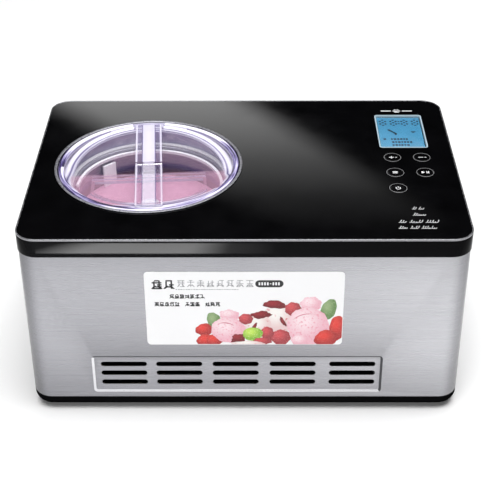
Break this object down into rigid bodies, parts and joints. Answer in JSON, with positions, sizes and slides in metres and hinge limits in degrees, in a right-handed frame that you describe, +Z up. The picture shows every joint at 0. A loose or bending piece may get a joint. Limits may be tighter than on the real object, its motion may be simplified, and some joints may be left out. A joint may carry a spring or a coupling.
{
  "type": "ice cream maker",
  "caption": "Countertop compressor ice cream maker: brushed steel box with a gloss black top, clear lid over a lift-out bowl and driven paddle, screen and round keys.",
  "frame": {"origin": "middle of the footprint, on the surface that the feet rest on", "axes": "+Z up, +X towards the control side, +Y towards the back"},
  "size_m": [0.425, 0.285, 0.2045],
  "materials": {
    "body_steel": "fine horizontal brushed grain, satin",
    "bright_trim": "bright satin",
    "black_gloss": "piano black, mirror gloss",
    "black_matte": "fine moulded texture",
    "clear_plastic": "clear, polished, faint violet tint",
    "white_plastic": "smooth",
    "gear_nylon": "natural nylon",
    "rubber": "matte",
    "silicone": "soft, translucent grey",
    "aluminium": "anodised satin",
    "copper": "drawn copper tube",
    "bronze": "sintered bronze",
    "foam": "rigid polyurethane foam",
    "black_enamel": "black enamel",
    "circuit_board": "green solder mask",
    "screen": "backlit blue liquid crystal",
    "label_print": "printed film"
  },
  "bodies": {
    "housing": {"base_tray": "black_matte", "body_wrap": "body_steel", "rear_panel": "body_steel", "rear_screw_1": "bright_trim", "rear_screw_2": "bright_trim", "rear_screw_3": "bright_trim", "rear_screw_4": "bright_trim", "cord_gland": "rubber", "foot_front_left": "rubber", "foot_front_right": "rubber", "foot_rear_left": "rubber", "foot_rear_right": "rubber", "top_frame": "black_gloss", "top_trim": "bright_trim", "top_panel": "black_gloss", "lid_collar": "bright_trim", "lcd_bezel": "bright_trim", "lcd_window": "clear_plastic", "lcd_module": "screen", "control_board": "circuit_board", "front_label": "label_print", "cooling_well": "aluminium", "evaporator_coil": "copper", "insulation_foam": "foam", "gearbox_housing": "black_matte", "gearbox_cover": "black_matte", "mixing_motor": "black_enamel", "shaft_bushing": "bronze", "shaft_seal": "rubber", "compressor": "black_enamel", "compressor_plate": "black_enamel", "compressor_grommet_1": "rubber", "compressor_grommet_2": "rubber", "compressor_grommet_3": "rubber", "condenser": "aluminium", "fan_bracket": "black_enamel", "fan_motor": "black_enamel", "filter_drier": "copper", "suction_tube": "copper", "discharge_tube": "copper", "capillary_tube": "copper", "power_board": "circuit_board"},
    "bowl": {"bowl": "aluminium"},
    "bowl_handle": {"bowl_handle": "white_plastic"},
    "paddle": {"paddle": "white_plastic"},
    "lid_carrier": {"lid_seal": "silicone"},
    "lid": {"lid": "clear_plastic", "door_hinge_pin": "bright_trim"},
    "refill_door": {"refill_door": "clear_plastic"},
    "drive": {"drive_shaft": "bright_trim", "drive_gear": "gear_nylon"},
    "idler": {"idler_gear": "gear_nylon"},
    "pinion": {"motor_pinion": "bright_trim"},
    "fan": {"fan_blades": "black_matte"},
    "key_time_up": {"key_time_up": "black_gloss"},
    "key_time_down": {"key_time_down": "black_gloss"},
    "key_mode": {"key_mode": "black_gloss"},
    "key_start": {"key_start": "black_gloss"},
    "key_power": {"key_power": "black_gloss"}
  },
  "joints": [
    {"name": "bowl_lift", "type": "slide", "parent": "housing", "child": "bowl", "axis": [0, 0, 1], "range_m": [0, 0.16]},
    {"name": "bowl_handle_swing", "type": "hinge", "parent": "bowl", "child": "bowl_handle", "pos_m": [-0.097, -0.002, 0.1777], "axis": [1, 0, 0], "range_deg": [0, 90]},
    {"name": "lid_lift", "type": "slide", "parent": "bowl", "child": "lid_carrier", "axis": [0, 0, 1], "range_m": [0, 0.25]},
    {"name": "lid_twist", "type": "hinge", "parent": "lid_carrier", "child": "lid", "pos_m": [-0.097, -0.002, 0.19], "axis": [0, 0, 1], "range_deg": [-4, 20]},
    {"name": "refill_door_swing", "type": "hinge", "parent": "lid", "child": "refill_door", "pos_m": [-0.097, -0.002, 0.2022], "axis": [-0.9976, -0.0698, 0], "range_deg": [0, 95]},
    {"name": "paddle_spin", "type": "hinge", "parent": "bowl", "child": "paddle", "pos_m": [-0.097, -0.002, 0.11], "axis": [0, 0, 1], "continuous": true},
    {"name": "drive_spin", "type": "hinge", "parent": "housing", "child": "drive", "pos_m": [-0.097, -0.002, 0.038], "axis": [0, 0, 1], "continuous": true},
    {"name": "idler_spin", "type": "hinge", "parent": "housing", "child": "idler", "pos_m": [-0.0095, -0.002, 0.038], "axis": [0, 0, 1], "continuous": true},
    {"name": "pinion_spin", "type": "hinge", "parent": "housing", "child": "pinion", "pos_m": [0.0355, -0.002, 0.038], "axis": [0, 0, 1], "continuous": true},
    {"name": "fan_spin", "type": "hinge", "parent": "housing", "child": "fan", "pos_m": [0.118, 0.0855, 0.076], "axis": [0, 1, 0], "continuous": true},
    {"name": "key_time_up_press", "type": "slide", "parent": "housing", "child": "key_time_up", "axis": [0, 0, -1], "range_m": [0, 0.0005], "stiffness_N_per_m": 400, "springref_m": -0.0005},
    {"name": "key_time_down_press", "type": "slide", "parent": "housing", "child": "key_time_down", "axis": [0, 0, -1], "range_m": [0, 0.0005], "stiffness_N_per_m": 400, "springref_m": -0.0005},
    {"name": "key_mode_press", "type": "slide", "parent": "housing", "child": "key_mode", "axis": [0, 0, -1], "range_m": [0, 0.0005], "stiffness_N_per_m": 400, "springref_m": -0.0005},
    {"name": "key_start_press", "type": "slide", "parent": "housing", "child": "key_start", "axis": [0, 0, -1], "range_m": [0, 0.0005], "stiffness_N_per_m": 400, "springref_m": -0.0005},
    {"name": "key_power_press", "type": "slide", "parent": "housing", "child": "key_power", "axis": [0, 0, -1], "range_m": [0, 0.0005], "stiffness_N_per_m": 400, "springref_m": -0.0005}
  ],
  "couplings": [
    {"joint": "bowl_handle_swing", "follows": "lid_lift", "rad_per_m": 6.2},
    {"joint": "paddle_spin", "follows": "drive_spin", "ratio": 1},
    {"joint": "idler_spin", "follows": "drive_spin", "ratio": -1.6923},
    {"joint": "pinion_spin", "follows": "drive_spin", "ratio": 4.4}
  ]
}
